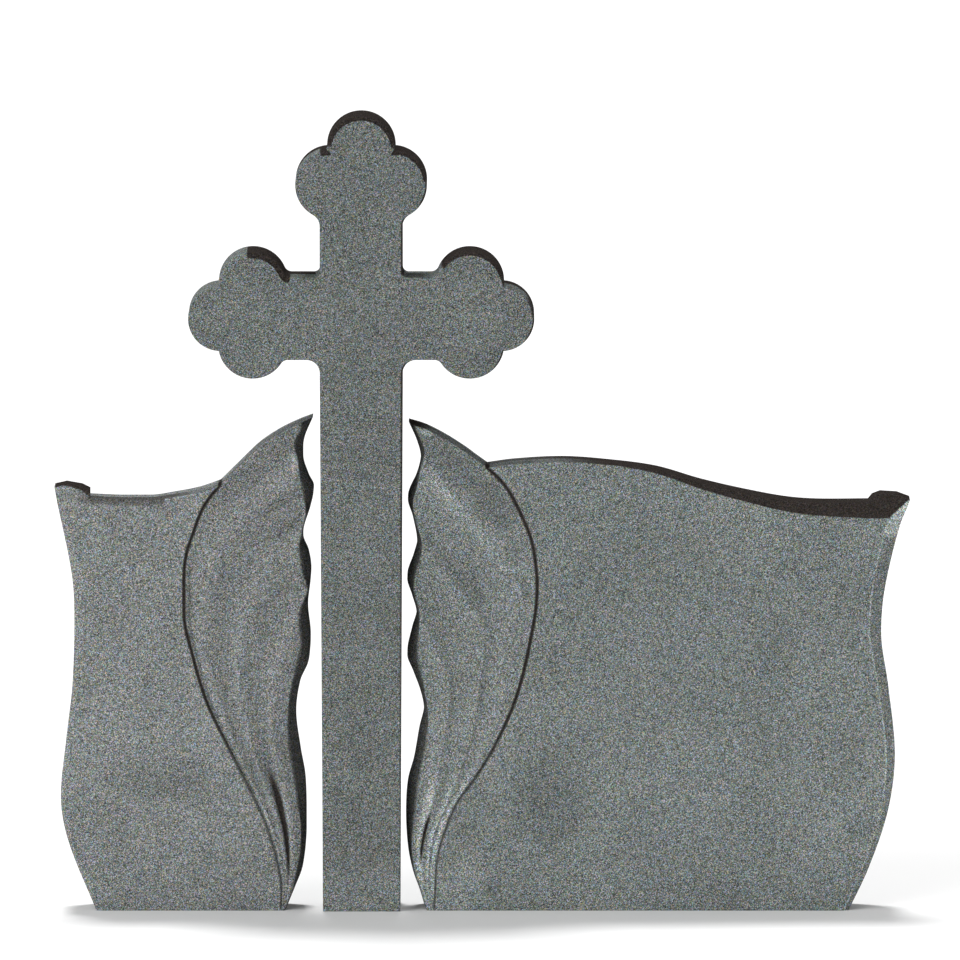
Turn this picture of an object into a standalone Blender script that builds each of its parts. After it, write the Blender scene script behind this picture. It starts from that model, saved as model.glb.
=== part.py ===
# Granite cross monument: a cross with trefoil ends between two carved steles.
#
# Frame: metres, +Z up, the stones stand on Z = 0. X runs along the monument's width with X = 0
# on the cross's axis, and the carved fronts face -Y. All three stones share the mid plane Y = 0.
#
# Each stele is drawn in millimetres as it is seen from the front: (out, up), where out is the
# distance from the side next to the cross, and up is the height. The drawing is then scaled to
# the stele's named width and height.

from math import acos, atan2, cos, hypot, pi, radians, sin, sqrt

import bmesh
import bpy
import numpy as np

# The cross
CROSS_THICKNESS = 0.100
SHAFT_WIDTH = 0.124          # under the arms, and the width of the arms as well
SHAFT_FOOT_WIDTH = 0.116
ARM_AXIS_HEIGHT = 0.8945
TOP_REACH = 0.3045           # from the arms' axis to the tip of the top trefoil
ARM_SPAN = 0.518             # over the two side trefoils
SIDE_LOBE_RADIUS = 0.0515
TOP_END_RADIUS = 0.0515
ARM_END_RADIUS = 0.0485
TOP_LOBE_STEP = 0.052        # from the two side lobes to the end lobe, along the shaft's axis
ARM_LOBE_STEP = 0.048        # the same along an arm's axis
TOP_LOBE_SIDE = 0.0470       # from the shaft's axis to the side lobes of the top
ARM_LOBE_ABOVE = 0.0485      # from an arm's axis to its upper side lobe
ARM_LOBE_BELOW = 0.0385      # and to its lower side lobe
TOP_NECK_FILLET = 0.020      # hollow where a side lobe runs into the shaft's top
ARM_NECK_FILLET = 0.012      # hollow where a side lobe runs into an arm
UPPER_CROSSING_FILLET = 0.009
LOWER_CROSSING_FILLET = 0.020
CROSS_CHAMFER = 0.003

# The steles
STELE_THICKNESS = 0.080
LEFT_WIDTH = 0.389
LEFT_HEIGHT = 0.743
LEFT_GAP = 0.0095            # from the shaft's widest part to the stele's nearest crest
RIGHT_WIDTH = 0.756
RIGHT_HEIGHT = 0.7355
RIGHT_GAP = 0.0045

# The carved wings
GROOVE_HALF_WIDTH = 0.0026
GROOVE_FOOT_HALF_WIDTH = 0.0012
GROOVE_DEPTH = 0.0045
GROOVE_CLEAR = 0.0009        # how far the groove's cutter stands out of the stele's face
WING_SINK = 0.0010           # the wing's highest ridges lie this far under the stele's face
FLUTE_DEPTH = 0.0055
FOOT_FLUTE_DEPTH = 0.0012
FLUTES_DEEPEN = (0.05, 0.45)  # shares of the wing's rise between which the flutes deepen
FLUTE_SPACING = 0.325        # share of the wing's breadth from one ridge to the next
FIRST_RIDGE = 0.176          # share of the breadth from the groove to the first ridge
FIRST_SLOPE = 0.12           # share of the breadth in which the flutes die out at the groove
RETURN_DEPTH = 0.030         # how far back the wing's edge slopes before it drops straight
LEAST_RETURN = 0.0022        # how far the arris stays inside the outline, at least
FAN_FOOT = 0.385             # height where the wing's fan of flutes begins, on the inner edge
ARRIS_SETBACK = 0.022        # the front arris leaves the wing's top this far from its tip

# How finely the curves are cut
LOBE_ARC_STEP = radians(11)
OUTLINE_STEP = 0.014
WING_ROWS = 30
WING_COLUMNS = 20
GROOVE_FOOT_ROWS = 0.15      # share of the rows in which the groove widens from its foot
GROOVE_END_ROWS = 0.02       # share of the rows in which it ends at the wing's top
FAN_BEND = 0.9               # share of the fan's breadth where it bends to meet the border
CLEAR = 0.010                # how far a cutter stands past the stone that it cuts
TOP_CLEAR = 0.004            # the same over the wing's top, where the stele's face is near
PAST_EDGE = 1.5              # the sloped return is cut on to half its width past the outline

GRANITE_GREY = (0.175, 0.192, 0.190, 1.0)
GRANITE_ROUGHNESS = 0.6

# Left stele, drawn 389 mm wide and 738 mm high
LEFT_DRAWING = {
    "inner_edge": [(42, 0), (28, 34), (17, 64), (11.5, 117), (13, 192), (20.5, 237), (27, 291),
                   (20.5, 342), (8, 372), (5, 408), (9, 452), (4, 507), (8, 534), (16, 556),
                   (14.5, 574), (5, 604), (0, 630), (8, 648), (16, 676), (14, 706), (1, 738)],
    "arris": [(44, 0), (33, 31), (26, 61), (20.5, 91), (20, 124), (26, 166), (32, 204), (38, 241),
              (40, 283), (35, 331), (27, 369), (20, 402), (23, 433), (20, 454), (9.5, 483),
              (17, 507), (22, 544), (17, 571), (12, 597), (14, 616), (20.5, 646), (23.5, 676),
              (29.5, 700), (20, 721)],
    "groove": [(50, 0), (49, 33), (53, 64), (63, 103), (79, 147), (125, 240), (159, 310),
               (182.5, 387), (194.5, 448), (194.5, 496), (191, 534), (180, 568), (165, 606),
               (140, 639)],
    "wing_top": [(140, 639), (111, 667.5), (81, 696), (51, 716), (21, 730.5), (1, 738)],
    "top_edge": [(140, 639), (171, 628.5), (209, 621), (246, 616), (284, 616), (336, 618)],
    "ear": [(336, 627), (348, 633), (371, 637), (389, 633)],
    "outer_edge": [(389, 633), (381, 597), (363, 507), (359, 447), (362, 342), (372, 255),
                   (380, 172), (369, 105), (327, 0)],
}

# Right stele, drawn 756 mm wide and 730.5 mm high
RIGHT_DRAWING = {
    "inner_edge": [(29, 0), (21, 27), (10.5, 57), (3, 94), (0, 147), (3, 189), (12, 222),
                   (20, 267), (27, 300), (22, 327), (11, 357), (2, 382), (9, 417), (16, 444),
                   (9, 472), (2, 496), (12, 529), (17, 550), (10.5, 589), (3, 615), (6, 627),
                   (17, 651), (22.5, 678), (17, 702), (4.5, 730.5)],
    "arris": [(31.5, 0), (23.5, 27), (13, 61), (9, 99), (15, 151), (23, 211), (32, 256),
              (34, 289), (28, 331), (19, 391), (21, 444), (12, 484), (17, 511), (25, 546),
              (16, 583), (11, 609), (18, 639), (22, 658), (28.5, 688), (16, 721)],
    "groove": [(42, 0), (44, 27), (46, 67), (52, 99), (64, 133), (77, 162), (103, 198),
               (133, 247), (164, 316), (185, 396), (197, 484), (190, 550), (170, 601),
               (148, 639), (122, 665)],
    "wing_top": [(122, 665), (104, 678), (89, 689), (59, 708), (29, 723), (4.5, 730.5)],
    "top_edge": [(122, 665), (164, 670.5), (232, 674), (292, 670.5), (374, 660), (442, 640.5),
                 (509, 625), (577, 613), (637, 610), (694, 610.5)],
    "ear": [(700, 618), (712, 622.5), (737, 621), (756, 614)],
    "outer_edge": [(756, 614), (740, 575), (718, 481), (713, 418), (724, 336), (734, 234),
                   (724, 151), (695, 64), (665, 0)],
}

# Bevels on the steles' fronts: along the top from nothing near the crown to full height at the
# ear, and down the outer side from the ear to the foot
LEFT_TOP_BEVEL = 0.013
LEFT_TOP_BEVEL_RUN = (0.150, 0.300)
LEFT_SIDE_BEVEL_TOP = 0.012
LEFT_SIDE_BEVEL_FOOT = 0.005
RIGHT_TOP_BEVEL = 0.022
RIGHT_TOP_BEVEL_RUN = (0.260, 0.690)
RIGHT_SIDE_BEVEL_TOP = 0.022
RIGHT_SIDE_BEVEL_FOOT = 0.008
SIDE_BEVEL_PITCH = 0.6       # depth of the side bevel for each unit of its width
BEVEL_START = 0.002          # the top bevel's cutter starts this far clear of the edge
BEVEL_CLEAR = 0.040          # how far it stands above the stone, over the ear's rise as well


def clear_scene():
    """Removes whatever the open file holds."""
    for old in list(bpy.data.objects):
        bpy.data.objects.remove(old, do_unlink=True)


def new_collection(name):
    """A collection of its own in the scene."""
    collection = bpy.data.collections.new(name)
    bpy.context.scene.collection.children.link(collection)
    return collection


def stone_material(name):
    """Fine grey granite, honed."""
    material = bpy.data.materials.new(name)
    material.use_nodes = True
    shader = material.node_tree.nodes["Principled BSDF"]
    shader.inputs["Base Color"].default_value = GRANITE_GREY
    shader.inputs["Roughness"].default_value = GRANITE_ROUGHNESS
    shader.inputs["Metallic"].default_value = 0.0
    material.diffuse_color = GRANITE_GREY
    return material


def smooth_value(knots, values, at):
    """The smooth curve through (knots, values), read at the places in at.

    The curve is level at each crest and dip of the values, so it swings no further than they do.
    """
    knots = np.asarray(knots, float)
    values = np.asarray(values, float)
    at = np.clip(np.asarray(at, float), knots[0], knots[-1])
    rises = np.diff(values) / np.diff(knots)
    slopes = np.concatenate([[rises[0]], np.zeros(len(knots) - 2), [rises[-1]]])
    keeps_on = rises[:-1] * rises[1:] > 0
    slopes[1:-1] = np.where(keeps_on, (values[2:] - values[:-2]) / (knots[2:] - knots[:-2]), 0.0)
    span = np.clip(np.searchsorted(knots, at, side="right") - 1, 0, len(knots) - 2)
    width = knots[span + 1] - knots[span]
    x = (at - knots[span]) / width
    return (values[span] * (1 + 2 * x) * (1 - x) ** 2
            + values[span + 1] * x * x * (3 - 2 * x)
            + slopes[span] * width * x * (1 - x) ** 2
            - slopes[span + 1] * width * x * x * (1 - x))


def smooth_line(points, shares):
    """Points along the smooth line through the given points, at shares of its length."""
    points = np.asarray(points, float)
    steps = np.hypot(*np.diff(points, axis=0).T)
    knots = np.concatenate([[0.0], np.cumsum(steps)])
    at = np.asarray(shares) * knots[-1]
    return np.stack([smooth_value(knots, points[:, k], at) for k in (0, 1)], axis=-1)


def stepped(start, end):
    """Values from start to end, about one outline step apart."""
    count = max(2, round(abs(end - start) / OUTLINE_STEP))
    return np.linspace(start, end, count + 1)


def stepped_line(points):
    """The smooth line through the points, cut into pieces of about one outline step."""
    length = np.hypot(*np.diff(np.asarray(points), axis=0).T).sum()
    return smooth_line(points, stepped(0.0, length) / length)


def ramp(x, start, end):
    """Rises smoothly from 0 at start to 1 at end."""
    x = np.clip((np.asarray(x, float) - start) / (end - start), 0.0, 1.0)
    return x * x * (3 - 2 * x)


def arc(centre, radius, start, end):
    """Points of an arc, counted anticlockwise where end is above start."""
    count = max(2, round(abs(end - start) / LOBE_ARC_STEP))
    return [(centre[0] + radius * cos(a), centre[1] + radius * sin(a))
            for a in np.linspace(start, end, count + 1)]


def half_trefoil(reach, end_radius, lobe_step, lobe_side, hollow):
    """One side of a trefoil end as (along, across), from the arm's edge to the end lobe's tip.

    reach is the distance from the crossing to the tip, lobe_step and lobe_side are the distances
    from the end lobe's centre back and across to the side lobe's, and hollow is the radius where
    the side lobe runs into the arm's edge.
    """
    end_centre = (reach - end_radius, 0.0)
    side_centre = (end_centre[0] - lobe_step, -lobe_side)

    # The neck's hollow touches the arm's edge and the side lobe.
    across = -(SHAFT_WIDTH / 2 + hollow)
    touching = SIDE_LOBE_RADIUS + hollow
    along = side_centre[0] - sqrt(touching ** 2 - (lobe_side + across) ** 2)
    to_lobe = atan2(side_centre[1] - across, side_centre[0] - along)

    # The notch is where the side lobe and the end lobe cross.
    apart = hypot(lobe_step, lobe_side)
    lean = atan2(lobe_side, lobe_step)
    to_notch = (apart ** 2 + SIDE_LOBE_RADIUS ** 2 - end_radius ** 2) / (2 * apart)
    side_lens = acos(to_notch / SIDE_LOBE_RADIUS)
    end_lens = acos((apart - to_notch) / end_radius)

    half = arc((along, across), hollow, pi / 2, to_lobe)
    half += arc(side_centre, SIDE_LOBE_RADIUS, to_lobe - pi, lean - side_lens)[1:]
    half += arc(end_centre, end_radius, lean - pi + end_lens, 0.0)[1:]
    return half


def cross_outline():
    """The cross seen from the front, anticlockwise from the foot's right corner."""
    half_shaft = SHAFT_WIDTH / 2
    low, high = [half_trefoil(ARM_SPAN / 2, ARM_END_RADIUS, ARM_LOBE_STEP, side, ARM_NECK_FILLET)
                 for side in (ARM_LOBE_BELOW, ARM_LOBE_ABOVE)]
    top = half_trefoil(TOP_REACH, TOP_END_RADIUS, TOP_LOBE_STEP, TOP_LOBE_SIDE, TOP_NECK_FILLET)
    below = half_shaft + LOWER_CROSSING_FILLET
    above = half_shaft + UPPER_CROSSING_FILLET
    under = (below, ARM_AXIS_HEIGHT - below)
    over = (above, ARM_AXIS_HEIGHT + above)

    right = [(SHAFT_FOOT_WIDTH / 2, 0.0)]
    right += arc(under, LOWER_CROSSING_FILLET, pi, pi / 2)
    right += [(x, ARM_AXIS_HEIGHT + y) for x, y in low]
    right += [(x, ARM_AXIS_HEIGHT - y) for x, y in reversed(high[:-1])]
    right += arc(over, UPPER_CROSSING_FILLET, -pi / 2, -pi)
    right += [(-y, ARM_AXIS_HEIGHT + x) for x, y in top]
    left = [(-x, z) for x, z in reversed(right[:-1])]
    return right + left


def extruded(name, outline, thickness, chamfer, collection):
    """A flat outline in the XZ plane given its thickness along Y, as a mesh object."""
    curve = bpy.data.curves.new(name, "CURVE")
    curve.dimensions = "2D"
    curve.fill_mode = "BOTH"
    curve.extrude = thickness / 2 - chamfer
    curve.bevel_depth = chamfer
    curve.bevel_resolution = 0
    curve.offset = -chamfer
    spline = curve.splines.new("POLY")
    spline.points.add(len(outline) - 1)
    for point, (x, z) in zip(spline.points, outline):
        point.co = (x, z, 0.0, 1.0)
    spline.use_cyclic_u = True
    drawn = bpy.data.objects.new(name + "_outline", curve)
    drawn.rotation_euler = (pi / 2, 0.0, 0.0)
    collection.objects.link(drawn)

    bpy.context.view_layer.update()
    evaluated = drawn.evaluated_get(bpy.context.evaluated_depsgraph_get())
    mesh = bpy.data.meshes.new_from_object(evaluated)
    mesh.transform(drawn.matrix_world)
    bpy.data.objects.remove(drawn, do_unlink=True)

    body = bmesh.new()
    body.from_mesh(mesh)
    bmesh.ops.remove_doubles(body, verts=body.verts, dist=0.00005)
    bmesh.ops.recalc_face_normals(body, faces=body.faces)
    body.to_mesh(mesh)
    body.free()
    mesh.name = name
    piece = bpy.data.objects.new(name, mesh)
    collection.objects.link(piece)
    return piece


def closed_body(name, near, far, collection):
    """A closed body between two grids of points that have the same rows and columns."""
    rows, columns, _ = near.shape
    body = bmesh.new()
    sheets = [[[body.verts.new(p) for p in row] for row in sheet] for sheet in (near, far)]
    for sheet in sheets:
        for i in range(rows - 1):
            for j in range(columns - 1):
                body.faces.new((sheet[i][j], sheet[i][j + 1], sheet[i + 1][j + 1], sheet[i + 1][j]))
    border = [(0, j) for j in range(columns)]
    border += [(i, columns - 1) for i in range(1, rows)]
    border += [(rows - 1, j) for j in reversed(range(columns - 1))]
    border += [(i, 0) for i in reversed(range(1, rows - 1))]
    for (i, j), (k, m) in zip(border, border[1:] + border[:1]):
        a, b = sheets[0][i][j], sheets[0][k][m]
        c, d = sheets[1][k][m], sheets[1][i][j]
        body.faces.new((a, b, c, d))
    bmesh.ops.remove_doubles(body, verts=body.verts, dist=0.00001)
    bmesh.ops.recalc_face_normals(body, faces=body.faces)
    mesh = bpy.data.meshes.new(name)
    body.to_mesh(mesh)
    body.free()
    piece = bpy.data.objects.new(name, mesh)
    piece.hide_render = True
    piece.display_type = "WIRE"
    collection.objects.link(piece)
    return piece


def cut(piece, cutter):
    """Takes the cutter away from the piece."""
    boolean = piece.modifiers.new(cutter.name, "BOOLEAN")
    boolean.operation = "DIFFERENCE"
    boolean.solver = "EXACT"
    boolean.object = cutter


class Stele:
    """One stele: its drawing at full size, and the cutters that carve it."""

    def __init__(self, name, side, drawing, width, height, gap, collection, cutters):
        self.name = name
        self.side = side
        self.near = SHAFT_WIDTH / 2 + gap
        self.width = width
        self.cutters = cutters
        every = np.array([p for line in drawing.values() for p in line], float)
        scale = np.array([width, height]) / every.max(axis=0)
        self.lines = {key: np.array(line, float) * scale for key, line in drawing.items()}
        self.front = -STELE_THICKNESS / 2
        outline = self.outline()
        placed = [(self.side * (self.near + out), up) for out, up in outline]
        self.piece = extruded(name, placed, STELE_THICKNESS, 0.0, collection)

    def outline(self):
        """The stele seen from the front, from its inner foot round to its outer foot."""
        up_inside = stepped_line(self.lines["inner_edge"])
        over_wing = stepped_line(self.lines["wing_top"][::-1])
        along_top = stepped_line(self.lines["top_edge"])
        down_outside = stepped_line(self.lines["outer_edge"])
        ear = self.lines["ear"][:-1]
        return np.concatenate([up_inside[:-1], over_wing[:-1], along_top, ear, down_outside])

    def place(self, out, depth, up):
        """World points from the distance out, the depth behind the front face and the height."""
        out, depth, up = np.broadcast_arrays(out, depth, up)
        return np.stack([self.side * (self.near + out), self.front + depth, up], axis=-1)

    def edge_at(self, key, up):
        """How far out an upright edge lies at a height."""
        line = self.lines[key]
        order = np.argsort(line[:, 1])
        return smooth_value(line[order, 1], line[order, 0], up)

    def arris_at(self, up):
        """How far out the wing's front arris lies, never closer to the outline than it may."""
        return np.maximum(self.edge_at("arris", up), self.edge_at("inner_edge", up) + LEAST_RETURN)

    def wing_border(self, shares):
        """The groove and the wing's top as one line from the foot, and its outward normals."""
        line = np.concatenate([self.lines["groove"], self.lines["wing_top"][1:]])
        step = 0.001
        points = smooth_line(line, shares)
        ahead = smooth_line(line, np.minimum(shares + step, 1.0))
        behind = smooth_line(line, np.maximum(shares - step, 0.0))
        along = ahead - behind
        along /= np.hypot(along[:, 0], along[:, 1])[:, None]
        return points, np.stack([along[:, 1], -along[:, 0]], axis=-1)

    def wing_depth(self, rise, across):
        """Depth of the fluted surface behind the stele's face."""
        wave = (1 - np.cos(2 * pi * (across - FIRST_RIDGE) / FLUTE_SPACING)) / 2
        depth = FOOT_FLUTE_DEPTH + (FLUTE_DEPTH - FOOT_FLUTE_DEPTH) * ramp(rise, *FLUTES_DEEPEN)
        return WING_SINK + depth * wave * ramp(across, 0.0, FIRST_SLOPE)

    def wing_cutter(self):
        """The stone that is carved away in front of the wing.

        Rows run across the wing from its foot to its fan of flutes, and columns run along the
        flutes, from the groove to the arris on the inner edge.
        """
        groove_length = np.hypot(*np.diff(self.lines["groove"], axis=0).T).sum()
        top_length = np.hypot(*np.diff(self.lines["wing_top"], axis=0).T).sum()
        last = 1 - ARRIS_SETBACK / (groove_length + top_length)
        rows = np.linspace(0.0, 1.0, WING_ROWS)
        shares = rows * last
        groove_end = groove_length / (groove_length + top_length)
        border, outward = self.wing_border(shares)
        past_groove = ramp(shares, groove_end, groove_end + GROOVE_END_ROWS)
        border = border + outward * (past_groove * TOP_CLEAR)[:, None]

        widening = (GROOVE_HALF_WIDTH - GROOVE_FOOT_HALF_WIDTH) * ramp(rows, 0.0, GROOVE_FOOT_ROWS)
        half_groove = GROOVE_FOOT_HALF_WIDTH + widening
        lip = border + outward * half_groove[:, None]
        inside = border - outward * half_groove[:, None]
        foot_line = -CLEAR
        for line in (lip, border, inside):
            line[0, 1] = foot_line

        # The flutes fill the patch between four lines: groove, foot, inner edge and fan.
        across = np.linspace(0.0, 1.0, WING_COLUMNS)
        low_up = foot_line + (FAN_FOOT - foot_line) * rows
        low = np.stack([self.arris_at(low_up), low_up], axis=-1)
        fan_up = inside[-1, 1] + (FAN_FOOT - inside[-1, 1]) * across
        fan = np.stack([self.arris_at(fan_up), fan_up], axis=-1)
        fan += (inside[-1] - fan[0]) * ramp(1 - across, FAN_BEND, 1.0)[:, None]
        foot = inside[0] + (low[0] - inside[0]) * across[:, None]
        s = rows[:, None, None]
        t = across[None, :, None]
        patch = (1 - t) * inside[:, None] + t * low[:, None]
        patch = patch + (1 - s) * foot[None] + s * fan[None]
        patch = patch - (1 - t) * ((1 - s) * inside[0] + s * inside[-1])
        patch = patch - t * ((1 - s) * low[0] + s * fan[-1])

        depth = self.wing_depth(rows[:, None], across[None, :])
        groove_depth = GROOVE_DEPTH * (1 - past_groove) + WING_SINK * past_groove
        lip_depth = np.where(past_groove > 0.5, WING_SINK, -GROOVE_CLEAR)
        flat = np.concatenate([lip[:, None], border[:, None], patch], axis=1)
        depth = np.concatenate([lip_depth[:, None], groove_depth[:, None], depth], axis=1)

        # The edge slopes back from the arris to the outline, and the cutter goes on past it.
        flat = np.concatenate([flat, self.past_edge(flat[:, -1])[:, None]], axis=1)
        depth = np.concatenate([depth, self.return_depth(depth[:, -1])[:, None]], axis=1)
        beyond = self.past_edge(flat[-1])
        beyond_depth = self.return_depth(depth[-1])
        beyond[-1] = flat[-1, -1]
        beyond_depth[-1] = depth[-1, -1]
        flat = np.concatenate([flat, beyond[None]], axis=0)
        depth = np.concatenate([depth, beyond_depth[None]], axis=0)

        carved = self.place(flat[..., 0], depth, flat[..., 1])
        ahead = self.place(flat[..., 0], -CLEAR, flat[..., 1])
        return closed_body(self.name + "_wing_cutter", carved, ahead, self.cutters)

    def past_edge(self, arris):
        """Points past the outline, each level with its point of the arris."""
        inside = arris[:, 0] - self.edge_at("inner_edge", arris[:, 1])
        return np.stack([arris[:, 0] - PAST_EDGE * inside, arris[:, 1]], axis=-1)

    def return_depth(self, arris_depth):
        """Depth there, so that the slope is at its full depth on the outline."""
        return arris_depth + PAST_EDGE * (RETURN_DEPTH - arris_depth)

    def top_bevel_cutter(self, height, run):
        """The wedge in front of the top bevel, which grows towards the ear."""
        start, full = run
        out = stepped(start, self.width + CLEAR)
        edge = self.lines["top_edge"]
        top = smooth_value(edge[:, 0], edge[:, 1], out)
        grown = np.clip((out - start) / (full - start), 0.0, 1.0)
        bevel = grown * (height + BEVEL_START) - BEVEL_START
        low = self.place(out, -CLEAR, top - bevel - CLEAR)
        back = self.place(out, bevel + BEVEL_CLEAR, top + BEVEL_CLEAR)
        front = self.place(out, -CLEAR, top + BEVEL_CLEAR)
        near = np.stack([low, back], axis=1)
        far = np.stack([front, (front + back) / 2], axis=1)
        return closed_body(self.name + "_top_cutter", near, far, self.cutters)

    def side_bevel_cutter(self, top_width, foot_width):
        """The wedge in front of the bevel down the outer side."""
        high = self.lines["outer_edge"][0, 1]
        up = stepped(-CLEAR, high + CLEAR)
        edge = self.edge_at("outer_edge", up)
        bevel = foot_width + (top_width - foot_width) * np.clip(up / high, 0.0, 1.0)
        inner = self.place(edge - bevel - CLEAR / SIDE_BEVEL_PITCH, -CLEAR, up)
        outer = self.place(edge + CLEAR, (bevel + CLEAR) * SIDE_BEVEL_PITCH, up)
        front = self.place(edge + CLEAR, -CLEAR, up)
        near = np.stack([inner, outer], axis=1)
        far = np.stack([(front + inner) / 2, front], axis=1)
        return closed_body(self.name + "_side_cutter", near, far, self.cutters)


def make_cross(collection):
    """The cross, one stone."""
    cross = extruded("cross", cross_outline(), CROSS_THICKNESS, CROSS_CHAMFER, collection)
    cross.data.materials.append(stone_material("granite_of_cross"))


def make_stele(name, side, drawing, width, height, gap, top_bevel, bevel_run, side_bevel,
               collection, cutters):
    """A stele with its carved wing, its bevels and its ear, one stone."""
    stele = Stele(name, side, drawing, width, height, gap, collection, cutters)
    cut(stele.piece, stele.wing_cutter())
    cut(stele.piece, stele.top_bevel_cutter(top_bevel, bevel_run))
    cut(stele.piece, stele.side_bevel_cutter(*side_bevel))
    stele.piece.data.materials.append(stone_material("granite_of_" + name))


def make_monument():
    """All three stones, side by side."""
    clear_scene()
    stones = new_collection("granite_cross_monument")
    cutters = new_collection("cutters")
    make_cross(stones)
    make_stele("left_stele", -1, LEFT_DRAWING, LEFT_WIDTH, LEFT_HEIGHT, LEFT_GAP,
               LEFT_TOP_BEVEL, LEFT_TOP_BEVEL_RUN,
               (LEFT_SIDE_BEVEL_TOP, LEFT_SIDE_BEVEL_FOOT), stones, cutters)
    make_stele("right_stele", 1, RIGHT_DRAWING, RIGHT_WIDTH, RIGHT_HEIGHT, RIGHT_GAP,
               RIGHT_TOP_BEVEL, RIGHT_TOP_BEVEL_RUN,
               (RIGHT_SIDE_BEVEL_TOP, RIGHT_SIDE_BEVEL_FOOT), stones, cutters)


make_monument()
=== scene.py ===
# Granite cross monument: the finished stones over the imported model.
#
# Metres, +Z up, the carved fronts face -Y. Every stone is rebuilt here in a fine mesh inside the
# box of its CAD node. A stele is drawn as (out, up) in millimetres: out is the distance from the
# side next to the cross, and up is the height.

from math import acos, atan2, cos, hypot, pi, radians, sin, sqrt

import bmesh
import bpy
import numpy as np
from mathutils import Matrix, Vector
from mathutils.geometry import delaunay_2d_cdt


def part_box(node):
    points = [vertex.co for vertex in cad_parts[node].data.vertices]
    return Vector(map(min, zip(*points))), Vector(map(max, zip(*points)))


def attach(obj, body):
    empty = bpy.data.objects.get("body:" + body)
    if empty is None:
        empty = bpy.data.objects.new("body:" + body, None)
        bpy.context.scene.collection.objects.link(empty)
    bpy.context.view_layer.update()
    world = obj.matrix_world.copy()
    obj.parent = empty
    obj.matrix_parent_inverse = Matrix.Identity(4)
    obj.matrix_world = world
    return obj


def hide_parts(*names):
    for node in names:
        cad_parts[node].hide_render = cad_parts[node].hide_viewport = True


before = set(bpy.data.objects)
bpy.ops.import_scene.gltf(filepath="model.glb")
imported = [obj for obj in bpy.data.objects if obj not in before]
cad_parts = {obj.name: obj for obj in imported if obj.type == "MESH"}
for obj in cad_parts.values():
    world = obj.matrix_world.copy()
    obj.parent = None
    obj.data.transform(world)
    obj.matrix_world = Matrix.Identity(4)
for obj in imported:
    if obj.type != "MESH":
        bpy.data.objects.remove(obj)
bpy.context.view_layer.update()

scene = bpy.context.scene

# The photograph's frame
PIXEL = 0.0015  # metres of the stones for each pixel
FRAME_PIXELS = 960
CROSS_AXIS_PIXEL = 361.5
GROUND_PIXEL = 911.0
CAMERA_DISTANCE = 25.0
CAMERA_ELEVATION = radians(6.5)
SENSOR = 36.0

# The cross, as in the CAD
SHAFT_WIDTH = 0.124
SHAFT_FOOT_WIDTH = 0.116
ARM_AXIS_HEIGHT = 0.8945
TOP_REACH = 0.3045
ARM_SPAN = 0.518
SIDE_LOBE_RADIUS = 0.0515
TOP_END_RADIUS = 0.0515
ARM_END_RADIUS = 0.0485
TOP_LOBE_STEP = 0.052
ARM_LOBE_STEP = 0.048
TOP_LOBE_SIDE = 0.0470
ARM_LOBE_ABOVE = 0.0485
ARM_LOBE_BELOW = 0.0385
TOP_NECK_FILLET = 0.020
ARM_NECK_FILLET = 0.012
UPPER_CROSSING_FILLET = 0.009
LOWER_CROSSING_FILLET = 0.020
CROSS_EDGE_ROUND = 0.0022

# The carved wings, as in the CAD
GROOVE_HALF_WIDTH = 0.0026
GROOVE_FOOT_HALF_WIDTH = 0.0018
GROOVE_WIDENS = 0.15  # up to this row of the wing
GROOVE_DEPTH = 0.0048
GROOVE_SHADE = (0.6, 0.4)  # painted shade in the groove: how dark it is at its foot, and how much darker higher up
GROOVE_DARKENS = (0.15, 0.45)
LIP_SHADE = 0.6  # share of the groove's painted shade on its lips
LIP_CLEAR = 0.0009
GROOVE_END = (0.0020, 0.0045)  # how far from the groove's end its notch in the edge, and the notch's painted shade, fade
GROOVE_END_DEPTH = 0.6
GROOVE_END_BEHIND = 0.8
WING_SINK = 0.0010
FLUTE_DEPTH = 0.0055
FOOT_FLUTE_DEPTH = 0.0012
FLUTE_SPACING = 0.325
FIRST_RIDGE = 0.176
FIRST_SLOPE = 0.12
FAN_FOOT = 0.385
FAN_MEETS = 0.9  # over its last tenth the fan's line swings to the border's end
ARRIS_SETBACK = 0.022
ARRIS_ROUND = 0.0007
ARRIS_CLEAR = 1.5  # the wing's own points stop this many times as far from the arris
ARRIS_SINK = 0.00025
STELE_EDGE_ROUND = 0.0012
EDGE_TONES = (0.4, 0.8, 1.0)  # the side's share of the painted shade round this edge

# The slope from a wing's arris back to the outline
RETURN_DEPTH = 0.030
LEAST_RETURN = 0.0022
RETURN_SHADE = (0.30, 0.32)  # painted shade: how dark it is where narrow, and how much darker where wide
RETURN_WIDTHS = (0.0025, 0.0060)
RETURN_BLUR = 0.10

# Painted light makes the ridges paler and painted shade makes the hollows darker, by half of these
# shares: over the wing, then at its foot. The next two values make the whole wing and its foot
# paler, and the last two are where the flutes get their full depth.
RELIEF_SIZES = ("Relief Tone", "Foot Relief Tone", "Wing Paler", "Foot Paler",
                "Deepen From", "Deepen To")
LEFT_RELIEF = (0.12, 0.40, -0.10, 0.02, 0.05, 0.45)
RIGHT_RELIEF = (0.12, 1.10, 0.06, 0.46, 0.20, 0.75)
FOOT_TONE = (0.160, 0.225)  # between these heights the foot's tones give way to the wing's
FOOT_TONE_GROWS = (0.020, 0.100)
GROUND_TONE = 0.35  # the share of the foot's tones at the very ground
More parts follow.
